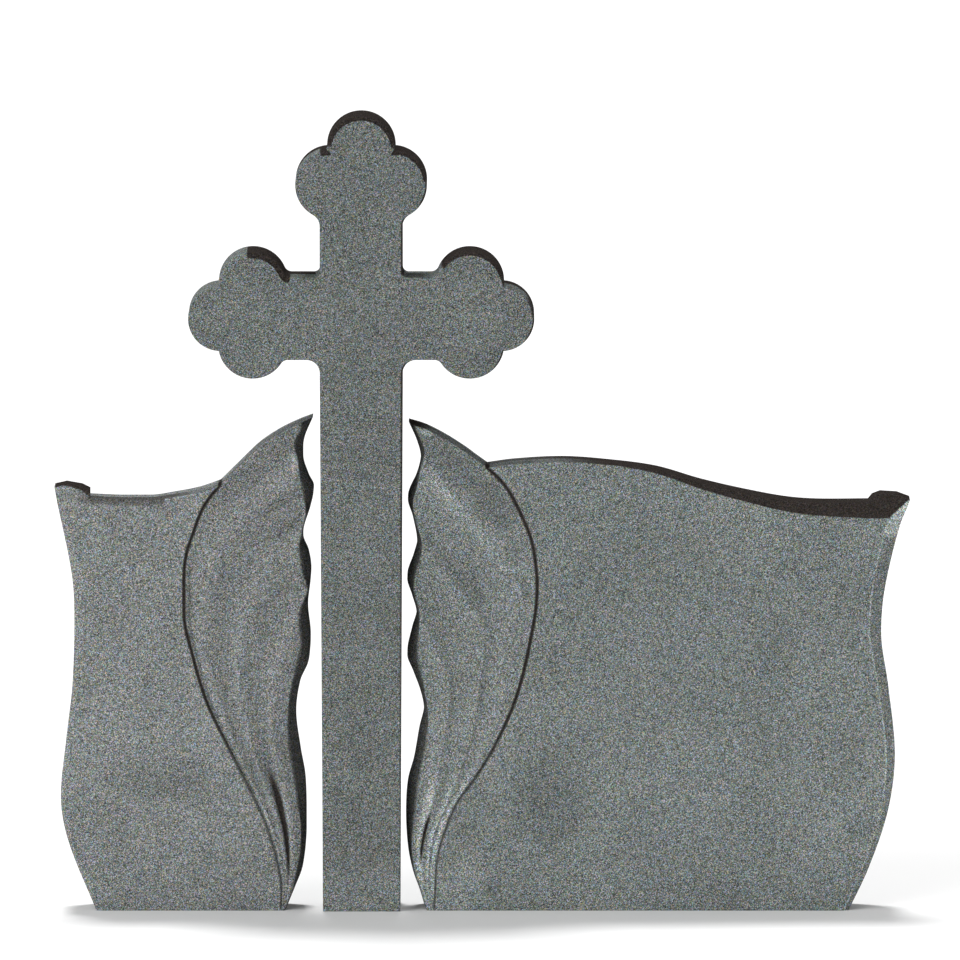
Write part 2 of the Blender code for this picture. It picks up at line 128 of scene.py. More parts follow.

# Flutes that close up to creases above the foot, darkened with painted shade: across, half width,
# from, to, depth, shade
LEFT_CREASES = [(0.664, 0.080, 0.03, 0.47, 0.0036, 1.3), (0.42, 0.05, 0.26, 0.44, 0.0012, 0.35)]
RIGHT_CREASES = [(0.77, 0.100, 0.12, 0.34, 0.0036, 1.3), (0.42, 0.05, 0.26, 0.42, 0.0008, 0.15)]
CREASE_SIZES = ("Place", "Half Width", "From", "To", "Depth", "Shade")
CREASE_FADES = (0.3, 1.0)  # a crease fades between these shares of half its length

# Where the cross's tops get bands of painted shade, laid on in the dark polished colour on the
# faces turned away from the light: from and to across, the least height, how dark the front and the
# back part of the side are, and how far the band laps over the front
CROSS_SHADE_BANDS = [
    (-0.0550, 0.0565, 1.136, 1.0, 1.0, 0.0040),  # over the top's end lobe
    (0.0500, 0.1000, 1.100, 1.0, 1.0, 0.0020),  # over its right lobe
    (-0.0615, -0.0500, 1.120, 1.0, 1.0, 0.0040),  # in its left notch
    (-0.0800, -0.0600, 1.115, 0.1, 0.8, 0.0),  # along its left lobe
    (-0.1710, -0.1060, 0.930, 1.0, 1.0, 0.0060),  # over the left arm's upper lobe
    (-0.1080, -0.0680, 0.950, 0.1, 0.9, 0.0),  # along the left arm
    (0.1200, 0.2130, 0.930, 1.0, 1.0, 0.0020),  # over the right arm's upper lobe
    (0.2130, 0.2590, 0.900, 0.3, 0.9, 0.0)]  # over the right arm's end lobe
RIGHT_FACING_SHADE = (0.8, 0.8, 0.0)  # painted shade on a side that faces right, away from the light: its tones
RIGHT_NORMALS = (0.6, 0.9)
UPWARD_NORMALS = (0.0, 0.2)
BAND_SLOPE = 0.5  # how steeply a band's lap slopes back
BAND_END = 0.002
BAND_BLUR = 0.0008
BAND_MARGIN = 0.0002
SIDE_SPLIT = (0.52, 0.60)  # where down the side its front part's tone gives way

# How finely the stones are meshed
OUTLINE_STEP = 0.0025
ARC_STEP = radians(2.5)
ROW_STEP = 0.0026
COLUMN_STEP = 0.0019
MOST_COLUMN_SHARE = 1 / 34
FACE_STEP = 0.020
CREST_STEP = 0.0030
LEAST_MITRE = 0.4  # keeps the mitres at sharp corners short
SPACING = 0.00045  # loose points closer than this to another are left out
RIM_MARGIN = 0.9  # grooves keep this share of the edge's rounding away from it
LIP_MARGIN = 0.006  # the face's points keep this far away from the groove
CREASE_ROWS = (-0.0015, -0.0005, 0.0005, 0.0015, 0.005)  # beside each bevel's crease
TOP_BEVEL_ROWS = (0.3, 0.6, 0.85)
SIDE_BEVEL_ROWS = (0.35, 0.7)
TOP_EDGE_ROW = 0.0035
RETURN_ROWS = (0.25, 0.5, 0.75)
EAR_REACH = (1.4 * 0.050, 0.050, 0.030)  # inwards, down and up from its tip
EAR_STEP = 0.0016
BACK_MARGIN = 0.0015  # from the back's rim to the points inside it
WELD = 0.000005

LEFT_DRAWING = {
    "inner_edge": [
        (42, 0), (28, 34), (17, 64), (11.5, 117), (13, 192), (20.5, 237), (27, 291), (20.5, 342),
        (8, 372), (5, 408), (9, 452), (4, 507), (8, 534), (16, 556), (14.5, 574), (5, 604),
        (0, 630), (8, 648), (16, 676), (14, 706), (1, 738)],
    "arris": [
        (44, 0), (33, 31), (26, 61), (20.5, 91), (20, 124), (26, 166), (32, 204), (38, 241),
        (40, 283), (35, 331), (27, 369), (20, 402), (23, 433), (20, 454), (9.5, 483), (17, 507),
        (22, 544), (17, 571), (12, 597), (14, 616), (20.5, 646), (23.5, 676), (29.5, 700),
        (20, 721)],
    "groove": [
        (50, 0), (49, 33), (53, 64), (63, 103), (79, 147), (125, 240), (159, 310), (182.5, 387),
        (194.5, 448), (194.5, 496), (191, 534), (180, 568), (165, 606), (140, 639)],
    "wing_top": [(140, 639), (111, 667.5), (81, 696), (51, 716), (21, 730.5), (1, 738)],
    "top_edge": [(140, 639), (171, 628.5), (209, 621), (246, 616), (284, 616), (336, 618)],
    "ear": [(336, 627), (348, 633), (371, 637), (389, 633)],
    "outer_edge": [
        (389, 633), (381, 597), (363, 507), (359, 447), (362, 342), (372, 255), (380, 172),
        (369, 105), (327, 0)],
}
LEFT_BEVELS = {"top": 0.013, "run": (0.150, 0.300), "side": (0.005, 0.012), "shade": 0.60,
               "shade_run": (0.222, 0.350), "shade_foot": (0.0035, 0.0150), "arris": 0.0}

# How dark a stele's side is along each line, at the line's start and end: its front part, then its
# back part. This is painted shade in the dark polished colour, darkest on the sides that face up or
# to the right, away from the light, and on the inner sides in the gap by the cross
BOTH_TONES = {"inner_edge": (0.62,) * 4, "ear": (1.0,) * 4, "foot": (0.0,) * 4}
LEFT_TONES = {**BOTH_TONES, "wing_top": (0.25, 0.0, 0.3, 0.0),
              "top_edge": (0.0, 0.65, 0.0, 0.2), "outer_edge": (0.15,) * 4}
TONE_RUN = 0.4  # share of a line over which its tone changes

RIGHT_DRAWING = {
    "inner_edge": [
        (29, 0), (21, 27), (10.5, 57), (3, 94), (0, 147), (3, 189), (12, 222), (20, 267),
        (27, 300), (22, 327), (11, 357), (2, 382), (9, 417), (16, 444), (9, 472), (2, 496),
        (12, 529), (17, 550), (10.5, 589), (3, 615), (6, 627), (17, 651), (22.5, 678), (17, 702),
        (4.5, 730.5)],
    "arris": [
        (31.5, 0), (23.5, 27), (13, 61), (9, 99), (15, 151), (23, 211), (32, 256), (34, 289),
        (28, 331), (19, 391), (21, 444), (12, 484), (17, 511), (25, 546), (16, 583), (11, 609),
        (18, 639), (22, 658), (28.5, 688), (16, 721)],
    "groove": [
        (42, 0), (44, 27), (46, 67), (52, 99), (64, 133), (77, 162), (103, 198), (133, 247),
        (164, 316), (185, 396), (197, 484), (190, 550), (170, 601), (148, 639), (122, 665)],
    "wing_top": [(122, 665), (104, 678), (89, 689), (59, 708), (29, 723), (4.5, 730.5)],
    "top_edge": [
        (122, 665), (164, 670.5), (232, 674), (292, 670.5), (374, 660), (442, 640.5), (509, 625),
        (577, 613), (637, 610), (694, 610.5)],
    "ear": [(700, 618), (712, 622.5), (737, 621), (756, 614)],
    "outer_edge": [
        (756, 614), (740, 575), (718, 481), (713, 418), (724, 336), (734, 234), (724, 151),
        (695, 64), (665, 0)],
}
RIGHT_BEVELS = {"top": 0.022, "run": (0.260, 0.690), "side": (0.008, 0.022), "shade": 1.0,
                "shade_run": (0.260, 1.0), "shade_foot": None, "arris": 1.0}
RIGHT_TONES = {**BOTH_TONES, "wing_top": (1.0, 0.10, 1.0, 0.4),
               "top_edge": (0.1, 1.0, 0.6, 1.0), "outer_edge": (0.6, 0.25, 0.6, 0.25)}

# The bevels: the side one's widths are at the foot and the top. The top one's painted shade runs
# between the two places of shade_run, over the whole bevel or as far down as shade_foot says, and
# arris is the share of the painted highlights on the side bevel.
SIDE_BEVEL_PITCH = 0.6
MITRE_LEAN = 2.1  # puts the mitre of the two bevels' tones at the ear's tip
BEVEL_START = 0.002
BEVEL_BLEND = 0.0006
BEVEL_BLUR = 0.0012
SHADE_BLURS = (0.002, 0.015)  # at the start and the end of the top bevel's tone
SHADE_LOST = 0.6  # the share of it that ends there
EAR_LAP = 0.006  # how far the ear's dark top, painted shade, laps over its front
EAR_BLUR = 0.001
EAR_CLEAR = 0.004
ARRIS_LINE = (0.0003, 0.0010)  # a painted highlight: the pale line along the side bevel's arris
ARRIS_HIGHLIGHT = 0.6
GLINT = (-0.058, -0.046)  # a painted highlight: the bevel catches light from here, against the outer edge's top
GLINT_BLUR = 0.001

# The granite: grains of feldspar, quartz and biotite in two sizes, each with its stops of tone
GRAINS = [(980.0, [(0.0, 0.12), (0.15, 0.40), (0.40, 0.85), (0.65, 1.15), (0.88, 2.45)]),
          (1900.0, [(0.0, 0.20), (0.20, 0.60), (0.50, 1.0), (0.80, 1.85)])]
FINE_SHARE = 0.7
WARM_GRAINS = 0.80
COOL_GRAINS = 1.00
CLOUDS = [(0.14, 60.0, 3.0, 0.6), (0.40, 9.0, 2.0, 0.5)]  # strength, scale, detail, roughness
PITS = (900.0, 2.0, 0.6)
PIT_STRENGTH = 0.25
PIT_DEPTH = 0.0004
# The dark colour: dark polished stone, and painted shade wherever the dark attribute lays it
POLISH_AND_SHADE = (0.027, 0.023, 0.021)
POLISH_AND_SHADE_GRAINS = 0.75
POLISH_AND_SHADE_TINT = 0.6
POLISH_AND_SHADE_FROM = (0.05, 0.95)  # values of the dark attribute
HONED_ROUGHNESS = 0.78
POLISHED_SMOOTHER = 0.25

# Each stone's honed grey, and how much paler its foot is: painted light against the shade near the
# floor
CROSS_STONE = ((0.112, 0.122, 0.119), 0.16)
LEFT_STONE = ((0.163, 0.172, 0.170), 0.03)
RIGHT_STONE = ((0.133, 0.145, 0.142), 0.19)
FOOT_HEIGHTS = (0.45, 0.05)  # between these heights the tone changes to that of the foot

# Small pale and dark marks on the fronts, some of them painted highlights and painted light, in
# millimetres: centre x and z, half width, half height, and how much paler
MARKS = [
    # A painted highlight under the right wing's tip, then specks, a scratch and dark spots on the
    # right stele and in its wing
    (98.3, 724.6, 12, 10, 0.45), (765, 511.8, 5, 4, 0.45), (234, 493, 3.5, 7, 0.45),
    (237.5, 482, 3.5, 7, 0.4), (635, 366.9, 6, 5, -0.25), (593, 394, 8, 6, -0.15),
    # By the cross's right arm a speck; on the left stele a painted highlight by its wing's tip, and
    # a darker patch
    (56.3, 952.3, 4, 4, -0.45), (-97.5, 730, 9, 7, 0.18), (-102, 675, 5, 20, 0.36),
    (-320, 347.2, 14, 12, -0.12),
    # The shaft's foot, paler as painted light against the shade near the floor, and patches up the
    # shaft and out along the arms
    (0, 30, 200, 52, 0.16), (0, 245, 60, 40, -0.08), (0, 680, 80, 35, -0.08),
    (16, 186, 4, 10, 0.16), (31, 278, 5, 8, 0.14), (158, 905, 70, 70, 0.1),
    (-188, 905, 70, 70, 0.06),
    # Darker and paler clouds on the two steles
    (283, 170, 75, 95, -0.16), (620, 400, 45, 60, -0.12), (745, 125, 30, 25, -0.16),
    (194, 35, 22, 16, -0.16), (158, 60, 30, 45, 0.12), (-300, 200, 110, 42, -0.16),
]
# Long soft strokes of painted light along the flutes' ridges and painted shade in their hollows, in
# millimetres: centre x and z of one end and of the other, half width, and how much paler. The first
# is the painted shade in the hollow under the right wing's top, the seventh the left one's.
PAINTED_RELIEF_STROKES = [
    (108, 710, 212, 600, 40, -0.25), (100, 660, 208, 532, 14, 0.16),
    (85, 575, 180, 462, 15, -0.22), (205, 518, 245, 512, 8, 0.22),
    (235, 500, 250, 480, 12, -0.16), (180, 460, 205, 330, 22, 0.1),
    (-92, 722, -205, 625, 28, -0.2), (-212, 560, -206, 470, 12, -0.12),
    (-155, 598, -92, 635, 10, -0.2), (-133, 563, -91, 593, 9, -0.18),
    (-158, 450, -92, 504, 12, -0.14), (-160, 475, -145, 410, 12, -0.08),
]
FRONT_ONLY = (-0.020, -0.028)
MARK_FADES = (0.2, 1.0)
STROKE_FADES = (0.35, 1.0)

# The studio
FLOOR_REACH = 60.0
FLOOR_COLOUR = (0.93, 0.93, 0.93, 1.0)
WORLD_STRENGTH = 0.42
LIGHTS = [("key", (-0.55, -0.60, 0.35), 1.65, radians(50)),  # from, strength, softness
          ("overhead", (-0.05, 0.25, 0.97), 2.1, radians(12))]


# Curves and outlines

def smooth_value(knots, values, at):
    """The smooth curve through (knots, values), level at each crest and dip of the values."""
    knots = np.asarray(knots, float)
    values = np.asarray(values, float)
    at = np.clip(np.asarray(at, float), knots[0], knots[-1])
    rises = np.diff(values) / np.diff(knots)
    slopes = np.concatenate([[rises[0]], np.zeros(len(knots) - 2), [rises[-1]]])
    keeps_on = rises[:-1] * rises[1:] > 0
    slopes[1:-1] = np.where(keeps_on, (values[2:] - values[:-2]) / (knots[2:] - knots[:-2]), 0.0)
    span = np.clip(np.searchsorted(knots, at, side="right") - 1, 0, len(knots) - 2)
    width = knots[span + 1] - knots[span]
    x = (at - knots[span]) / width
    return (values[span] * (1 + 2 * x) * (1 - x) ** 2
            + values[span + 1] * x * x * (3 - 2 * x)
            + slopes[span] * width * x * (1 - x) ** 2
            - slopes[span + 1] * width * x * x * (1 - x))


def smooth_line(points, shares):
    """Points along the smooth line through the given points, at shares of its length."""
    points = np.asarray(points, float)
    steps = np.hypot(*np.diff(points, axis=0).T)
    knots = np.concatenate([[0.0], np.cumsum(steps)])
    at = np.asarray(shares) * knots[-1]
    return np.stack([smooth_value(knots, points[:, k], at) for k in (0, 1)], axis=-1)


def pairs(out, up):
    """Points from their two measures."""
    return np.stack([out, up], axis=-1)


def line_length(points):
    """Length of the straight pieces between the points."""
    return np.hypot(*np.diff(np.asarray(points), axis=0).T).sum()


def stepped(start, end, step=OUTLINE_STEP):
    """Values from start to end, about one step apart."""
    return np.linspace(start, end, max(2, round(abs(end - start) / step)) + 1)


def stepped_line(points):
    """The smooth line through the points, in pieces of one outline step."""
    length = line_length(points)
    return smooth_line(points, stepped(0.0, length) / length)


def straight_line(points):
    """The straight pieces between the points, in pieces of one outline step."""
    points = np.asarray(points, float)
    pieces = [a + (b - a) * stepped(0, hypot(*(b - a)))[:-1, None] / hypot(*(b - a))
              for a, b in zip(points, points[1:])]
    return np.concatenate(pieces + [points[-1:]])


def part_way(x, start, end):
    """How far x has come from start to end, from 0 to 1."""
    return np.clip((x - start) / (end - start), 0.0, 1.0)


def ramp(x, start, end):
    """Rises smoothly from 0 at start to 1 at end."""
    x = part_way(x, start, end)
    return x * x * (3 - 2 * x)


def past(x, at, blur):
    """Rises smoothly from 0 to 1 as x passes the value."""
    return ramp(x, at - blur, at + blur)


def larger(a, b, blend):
    """The larger of two depths, rounded where they cross."""
    near = np.maximum(blend - np.abs(a - b), 0.0) / blend
    return np.maximum(a, b) + near * near * blend / 4


def round_edge(radius, degrees):
    """How far inside the outline, and how deep, a rounded edge is at each angle."""
    return [(radius * (1 - sin(radians(a))), radius * (1 - cos(radians(a)))) for a in degrees]


def grid_points(outs, ups, step):
    """Points one step apart, between these limits."""
    out, up = np.meshgrid(np.arange(*outs, step), np.arange(*ups, step))
    return pairs(out.ravel(), up.ravel())


def arc(centre, radius, start, end):
    """Points of an arc, counted anticlockwise where end is above start."""
    count = max(2, round(abs(end - start) / ARC_STEP))
    return [(centre[0] + radius * cos(a), centre[1] + radius * sin(a))
            for a in np.linspace(start, end, count + 1)]


def half_trefoil(reach, end_radius, lobe_step, lobe_side, hollow):
    """One side of a trefoil end as (along, across), from the arm's edge to the end lobe's tip."""
    end_centre = (reach - end_radius, 0.0)
    side_centre = (end_centre[0] - lobe_step, -lobe_side)
    across = -(SHAFT_WIDTH / 2 + hollow)
    touching = SIDE_LOBE_RADIUS + hollow
    along = side_centre[0] - sqrt(touching ** 2 - (lobe_side + across) ** 2)
    to_lobe = atan2(side_centre[1] - across, side_centre[0] - along)
    apart = hypot(lobe_step, lobe_side)
    lean = atan2(lobe_side, lobe_step)
    to_notch = (apart ** 2 + SIDE_LOBE_RADIUS ** 2 - end_radius ** 2) / (2 * apart)
    side_lens = acos(to_notch / SIDE_LOBE_RADIUS)
    end_lens = acos((apart - to_notch) / end_radius)
    half = arc((along, across), hollow, pi / 2, to_lobe)
    half += arc(side_centre, SIDE_LOBE_RADIUS, to_lobe - pi, lean - side_lens)[1:]
    half += arc(end_centre, end_radius, lean - pi + end_lens, 0.0)[1:]
    return half


def cross_outline():
    """The cross seen from the front, anticlockwise from the foot's right corner."""
    half_shaft = SHAFT_WIDTH / 2
    low, high = [half_trefoil(ARM_SPAN / 2, ARM_END_RADIUS, ARM_LOBE_STEP, side, ARM_NECK_FILLET)
                 for side in (ARM_LOBE_BELOW, ARM_LOBE_ABOVE)]
    top = half_trefoil(TOP_REACH, TOP_END_RADIUS, TOP_LOBE_STEP, TOP_LOBE_SIDE, TOP_NECK_FILLET)
    below = half_shaft + LOWER_CROSSING_FILLET
    above = half_shaft + UPPER_CROSSING_FILLET
    right = [(SHAFT_FOOT_WIDTH / 2, 0.0)]
    right += arc((below, ARM_AXIS_HEIGHT - below), LOWER_CROSSING_FILLET, pi, pi / 2)
    right += [(x, ARM_AXIS_HEIGHT + y) for x, y in low]
    right += [(x, ARM_AXIS_HEIGHT - y) for x, y in reversed(high[:-1])]
    right += arc((above, ARM_AXIS_HEIGHT + above), UPPER_CROSSING_FILLET, -pi / 2, -pi)
    right += [(-y, ARM_AXIS_HEIGHT + x) for x, y in top]
    left = [(-x, z) for x, z in reversed(right[:-1])]
    return np.array(right + left)


def outward_normals(outline):
    """Outward normals at the points of a closed outline, and how far a mitre there reaches."""
    following = np.roll(outline, -1, axis=0)
    area = (outline[:, 0] * following[:, 1] - following[:, 0] * outline[:, 1]).sum()
    along = following - outline
    along /= np.hypot(*along.T)[:, None]
    ahead = pairs(along[:, 1], -along[:, 0]) * np.sign(area)
    both = ahead + np.roll(ahead, 1, axis=0)
    length = np.hypot(*both.T)
    return both / length[:, None], 1 / np.maximum(length / 2, LEAST_MITRE)


def inset(outline, distance):
    """The outline moved inwards by the distance."""
    normals, reach = outward_normals(outline)
    return outline - normals * (reach * distance)[:, None]


def depth_inside(points, outline):
    """How far inside a closed outline each point lies; negative outside."""
    nearest = np.full(len(points), np.inf)
    inside = np.zeros(len(points), bool)
    for a, b in zip(outline, np.roll(outline, -1, axis=0)):
        side = b - a
        share = np.clip((points - a) @ side / (side @ side), 0.0, 1.0)
        gap = points - a - share[:, None] * side
        nearest = np.minimum(nearest, np.hypot(*gap.T))
        spans = (a[1] > points[:, 1]) != (b[1] > points[:, 1])
        with np.errstate(divide="ignore", invalid="ignore"):
            crossing = a[0] + (points[:, 1] - a[1]) * side[0] / side[1]
        inside ^= spans & (points[:, 0] < crossing)
    return np.where(inside, nearest, -nearest)


# Stones as meshes

# Attributes: dark lays on the dark polished colour, which is also painted shade; pale carries
# painted highlights, the flutes' painted light and shade, and the wings' paler tone
FIELDS = ("across", "rise", "carved", "dark", "pale")
DEPTH, CARVING, DARK = 2, slice(3, 6), 6  # columns of the rows


def samples(points, depth=0.0, across=0.0, rise=0.0, carved=0.0, dark=0.0, pale=0.0):
    """Rows of (out, up, depth, across, rise, carved, dark, pale), one for each point."""
    rows = np.zeros((len(points), 3 + len(FIELDS)))
    rows[:, :2] = points
    for column, value in enumerate((depth, across, rise, carved, dark, pale), start=2):
        rows[:, column] = value
    return rows


def spread_out(rows, fixed):
    """Leaves out the rows that lie too close to a fixed row or to an earlier one."""
    taken = {}
    kept = []
    for number, (out, up) in enumerate(np.concatenate([fixed, rows])[:, :2], -len(fixed)):
        i, j = int(out // SPACING), int(up // SPACING)
        if number >= 0:
            others = [point for a in (i - 1, i, i + 1) for b in (j - 1, j, j + 1)
                      for point in taken.get((a, b), ())]
            if any(hypot(out - x, up - y) < SPACING for x, y in others):
                continue
            kept.append(number)
        taken.setdefault((i, j), []).append((out, up))
    return rows[kept]


def filled(rim, lines=(), loose=None):
    """Rows, triangles and the rim's places for what lies inside a rim, through lines and points."""
    rows = [rim]
    edges = []
    start = len(rim)
    for line in lines:
        rows.append(line)
        edges += [(start + k, start + k + 1) for k in range(len(line) - 1)]
        start += len(line)
    fixed = np.concatenate(rows)
    if loose is not None:
        inner = loose[depth_inside(loose[:, :2], rim[:, :2]) > SPACING]
        fixed = np.concatenate([fixed, spread_out(inner, fixed)])
    points = [Vector(p) for p in fixed[:, :2]]
    face = list(range(len(rim)))
    found = delaunay_2d_cdt(points, edges, [face], 1, 1e-7, True)
    flat, triangles, origins = found[0], np.array(found[2]), found[3]
    where = np.array([list(p) for p in flat])
    result = np.zeros((len(flat), fixed.shape[1]))
    place = np.full(len(fixed), -1)
    for k, origin in enumerate(origins):
        if origin:
            result[k] = fixed[origin[0]]
            place[list(origin)] = k
        else:
            result[k] = fixed[np.argmin(np.hypot(*(fixed[:, :2] - where[k]).T))]
            result[k, :2] = where[k]

    # Only triangles between rim points alone can lie outside the rim.
    on_rim = np.isin(triangles, place[:len(rim)]).all(axis=1)
    middles = where[triangles[on_rim]].mean(axis=1)
    outside = np.zeros(len(triangles), bool)
    outside[on_rim] = depth_inside(middles, rim[:, :2]) < 0
    return result, triangles[~outside].tolist(), place[:len(rim)]


def ring_faces(last, following):
    """The faces between two rings."""
    return list(zip(last, np.roll(last, -1), np.roll(following, -1), following))


def add(name, data):
    """A new object in the scene."""
    thing = bpy.data.objects.new(name, data)
    scene.collection.objects.link(thing)
    return thing


def stone(name, front, rings, back, side=1, near=0.0, start=0.0):
    """A closed stone in its place: its front, the rings down its side, and its back."""
    front, triangles, last = front
    back, back_triangles, back_rim = back
    faces = list(triangles)
    total = len(front)
    for ring in rings:
        following = np.arange(total, total + len(ring))
        faces += ring_faces(last, following)
        last = following
        total += len(ring)
    faces += [total + np.array(corners) for corners in back_triangles]
    faces += ring_faces(last, total + back_rim)
    rows = np.concatenate([front, *rings, back])
    out, up, depth = rows[:, :3].T
    points = np.stack([side * (near + out), start + depth, up], axis=-1)

    mesh = bpy.data.meshes.new(name)
    mesh.from_pydata(points.tolist(), [], [[int(i) for i in face] for face in faces])
    for column, field in enumerate(FIELDS, start=3):
        attribute = mesh.attributes.new(field, "FLOAT", "POINT")
        attribute.data.foreach_set("value", rows[:, column].astype(np.float32))
    body = bmesh.new()
    body.from_mesh(mesh)
    bmesh.ops.remove_doubles(body, verts=body.verts, dist=WELD)
    bmesh.ops.recalc_face_normals(body, faces=body.faces)
    for face in body.faces:
        face.smooth = True
    body.to_mesh(mesh)
    body.free()
    return add(name, mesh)


def cross_painted_shade(outline):
    """All round the cross: the painted shade on its side in front and behind, and how far that laps
    over.
    """
    normals, _ = outward_normals(outline)
    across, up = outline.T
    tones = ramp(normals[:, 0], *RIGHT_NORMALS)[:, None] * np.array(RIGHT_FACING_SHADE)
    for start, end, height, *band in CROSS_SHADE_BANDS:
        within = past(across, start, BAND_END) * past(-across, -end, BAND_END)
        within = within * (up > height) * ramp(normals[:, 1], *UPWARD_NORMALS)
        tones = np.maximum(tones, within[:, None] * np.array(band))
    return tones.T


def side_rings(outline, first, thickness, round_off, near, far):
    """The rings down a side between its rounded edges, with the painted shade of its two parts."""
    start, end = SIDE_SPLIT
    return [samples(outline, depth=first, dark=near),
            samples(outline, depth=thickness * start, dark=near),
            samples(outline, depth=thickness * end, dark=far),
            samples(outline, depth=thickness - 2 * round_off, dark=far)]


def make_cross():
    """The cross, flat on both sides, with rounded edges."""
    low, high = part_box("cross")
    thickness = high.y - low.y
    outline = cross_outline()
    near, far, lap = cross_painted_shade(outline)
    edge = round_edge(CROSS_EDGE_ROUND, (0, 22.5, 45, 67.5, 90))
    lap_end = edge[0][0] + lap + BAND_MARGIN

    rim = samples(inset(outline, edge[0][0]), depth=lap * BAND_SLOPE, dark=near)
    lapped = samples(inset(outline, lap_end), dark=near)
    clear = samples(inset(outline, lap_end + BAND_BLUR))
    front = filled(rim, [lapped, clear])
    back = filled(samples(rim[:, :2], dark=far), [samples(clear[:, :2])])
    back[0][:, DEPTH] = thickness
    rings = [samples(inset(outline, inside), depth=rim[:, DEPTH] + depth, dark=near)
             for inside, depth in edge[1:]]
    rings += side_rings(outline, rim[:, DEPTH] + 2 * CROSS_EDGE_ROUND, thickness,
                        CROSS_EDGE_ROUND, near, far)
    rings += [samples(inset(outline, inside), depth=thickness - depth, dark=far)
              for inside, depth in reversed(edge[1:])]
    return stone("cross_stone", front, rings, back, start=low.y)


class Stele:
    """One stele: its drawing at full size, and the rows that its fine mesh is built from."""

    def __init__(self, node, side, drawing, bevels, tones):
        low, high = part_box(node)
        self.node = node
        self.side = side
        self.near = low.x if side > 0 else -high.x
        self.front = low.y
        self.thickness = high.y - low.y
        self.bevels = bevels
        self.tones = tones
        every = np.array([p for line in drawing.values() for p in line], float)
        scale = np.array([high.x - low.x, high.z]) / every.max(axis=0)
        self.lines = {key: np.array(line, float) * scale for key, line in drawing.items()}
        self.high = self.lines["outer_edge"][0, 1]

    def edge_at(self, key, up):
        """How far out an upright edge lies at a height."""
        line = self.lines[key]
        order = np.argsort(line[:, 1])
        return smooth_value(line[order, 1], line[order, 0], up)

    def arris_at(self, up):
        """How far out the wing's front arris lies at a height."""
        return np.maximum(self.edge_at("arris", up), self.edge_at("inner_edge", up) + LEAST_RETURN)

    def outline(self):
        """The outline from the inner foot round to the outer foot and back, what it borders, and
        the painted shade along the side.
        """
        foot_in = self.lines["inner_edge"][0]
        foot_out = self.lines["outer_edge"][-1]
        wing_foot = self.lines["groove"][0]
        parts = [("wing", "inner_edge", stepped_line(self.lines["inner_edge"])[:-1]),
                 ("wing", "wing_top", stepped_line(self.lines["wing_top"][::-1])[:-1]),
                 ("face", "top_edge", stepped_line(self.lines["top_edge"])),
                 ("face", "ear", straight_line(self.lines["ear"])[:-1]),
                 ("face", "outer_edge", stepped_line(self.lines["outer_edge"])),
                 ("face", "foot", straight_line([foot_out, wing_foot])[1:]),
                 ("foot", "foot", straight_line([wing_foot, foot_in])[1:-1])]
        points = np.concatenate([line for _, _, line in parts])
        zones = np.concatenate([[zone] * len(line) for zone, _, line in parts])
        near, far = [], []
        for _, key, line in parts:
            share = ramp(np.linspace(0.0, 1.0, len(line)), 0.0, TONE_RUN)
            first, last, far_first, far_last = self.tones[key]
            near.append(first + (last - first) * share)
            far.append(far_first + (far_last - far_first) * share)
        over = self.groove_end(points)
        near = np.maximum(np.concatenate(near), over)
        far = np.maximum(np.concatenate(far), over * GROOVE_END_BEHIND)
        return points, zones, near, far

    def groove_end(self, points):
        """1 where the groove runs out through the top edge, and 0 away from there: the notch's
        depth and painted shade.
        """
        away = np.hypot(*(points - self.lines["groove"][-1]).T)
        return 1 - ramp(away, *GROOVE_END)

    def top_bevel(self, out):
        """The top edge's height, and how high the bevel under it is."""
        edge = self.lines["top_edge"]
        grown = part_way(out, *self.bevels["run"])
        return (smooth_value(edge[:, 0], edge[:, 1], out),
                grown * (self.bevels["top"] + BEVEL_START) - BEVEL_START)

    def side_bevel(self, up):
        """How far out the outer edge lies, and how wide the bevel beside it is."""
        foot, widest = self.bevels["side"]
        return self.edge_at("outer_edge", up), foot + (widest - foot) * part_way(up, 0, self.high)

    def face(self, points):
        """The flat face with its bevels along the top and down the outer side, and their painted
        shade and highlights.
        """
        out, up = points[:, 0], points[:, 1]
        top, height = self.top_bevel(out)
        along_top = np.where(out < self.bevels["run"][0], -1.0, up - (top - height))
        edge, width = self.side_bevel(up)
        down_side = (width - (edge - out)) * SIDE_BEVEL_PITCH
        depth = larger(np.maximum(along_top, 0.0), np.maximum(down_side, 0.0), BEVEL_BLEND)
        if self.bevels["shade_foot"]:
            shade = 1 - ramp(top - up, *self.bevels["shade_foot"])
        else:
            shade = ramp(along_top, 0.0, BEVEL_BLUR)
        begins, ends = [past(out, at, blur)
                        for at, blur in zip(self.bevels["shade_run"], SHADE_BLURS)]
        shade = self.bevels["shade"] * shade * begins * (1 - SHADE_LOST * ends)
        steeper = along_top > MITRE_LEAN * np.maximum(down_side, 0.0)
        dark = np.where(steeper | (down_side <= 0.0), shade, 0.0)

        # The ear's top is dark over its front too, with painted shade, and the side bevel beside it
        # gets a painted highlight
        ear = self.lines["ear"]
        share = part_way(out, ear[0, 0], ear[-1, 0])
        below = np.interp(out, ear[:, 0], ear[:, 1]) - up
        on_ear = (out > ear[0, 0]) & (down_side < EAR_CLEAR)
        dark = np.maximum(dark, on_ear * (1 - past(below, EAR_LAP * (1 - share), EAR_BLUR)))
        arris = ARRIS_HIGHLIGHT * (1 - ramp(np.abs(down_side), *ARRIS_LINE))
        glint = ramp(down_side, 0.0, GLINT_BLUR) * ramp(up - self.high, *GLINT)
        pale = self.bevels["arris"] * np.where(steeper, 0.0, np.maximum(arris, glint))
        return samples(points, depth=depth, dark=dark, pale=pale)

